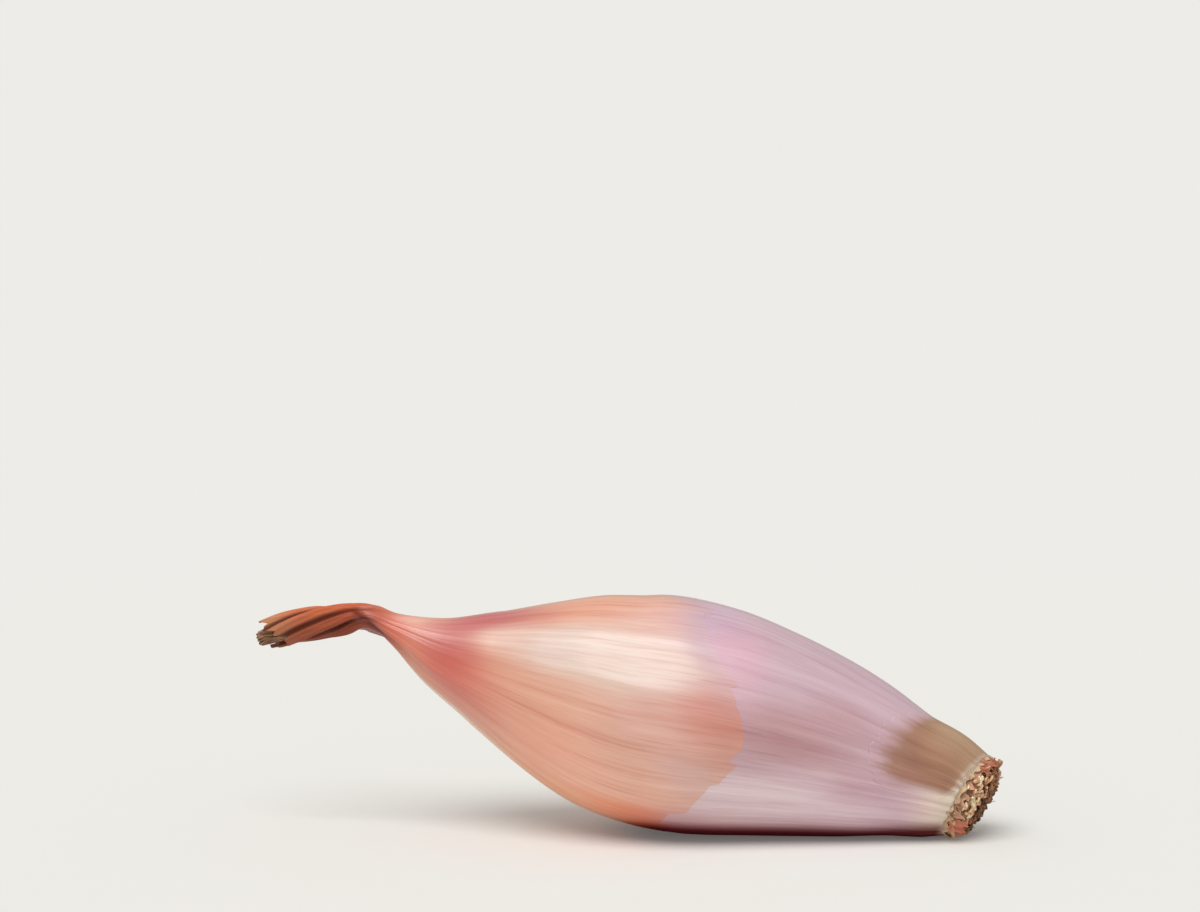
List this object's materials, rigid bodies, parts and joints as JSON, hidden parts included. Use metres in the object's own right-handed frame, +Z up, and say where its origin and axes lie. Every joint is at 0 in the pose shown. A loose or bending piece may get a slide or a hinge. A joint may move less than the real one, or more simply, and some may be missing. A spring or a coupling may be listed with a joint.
{
  "type": "shallot",
  "caption": "Banana shallot lying on its side: slender bulb, torn copper skin closing to a dry twisted neck, and a root plate with dried roots.",
  "frame": {"origin": "on the ground under the middle of the whole shallot", "axes": "+X along the bulb towards its roots, +Z up, -Y is the front side"},
  "size_m": [0.1294, 0.0382, 0.0405],
  "materials": {
    "bulb_scale": "satin",
    "copper_skin": "satin",
    "dry_neck": "matte",
    "brown_remnant": "matte",
    "rim_scrap": "matte",
    "root_plate": "matte",
    "dry_root": "matte"
  },
  "bodies": {
    "root": {"fleshy_bulb": "bulb_scale", "outer_skin": "copper_skin", "neck_leaf_1": "dry_neck", "neck_leaf_2": "dry_neck", "neck_leaf_3": "dry_neck", "base_skin_scrap": "brown_remnant", "rim_scrap_1": "rim_scrap", "rim_scrap_2": "rim_scrap", "rim_scrap_3": "rim_scrap", "root_plate": "root_plate", "root_crust": "dry_root", "root_01": "dry_root", "root_02": "dry_root", "root_03": "dry_root", "root_04": "dry_root", "root_05": "dry_root", "root_06": "dry_root", "root_07": "dry_root", "root_08": "dry_root", "root_09": "dry_root", "root_10": "dry_root", "root_11": "dry_root", "root_12": "dry_root"}
  },
  "joints": []
}
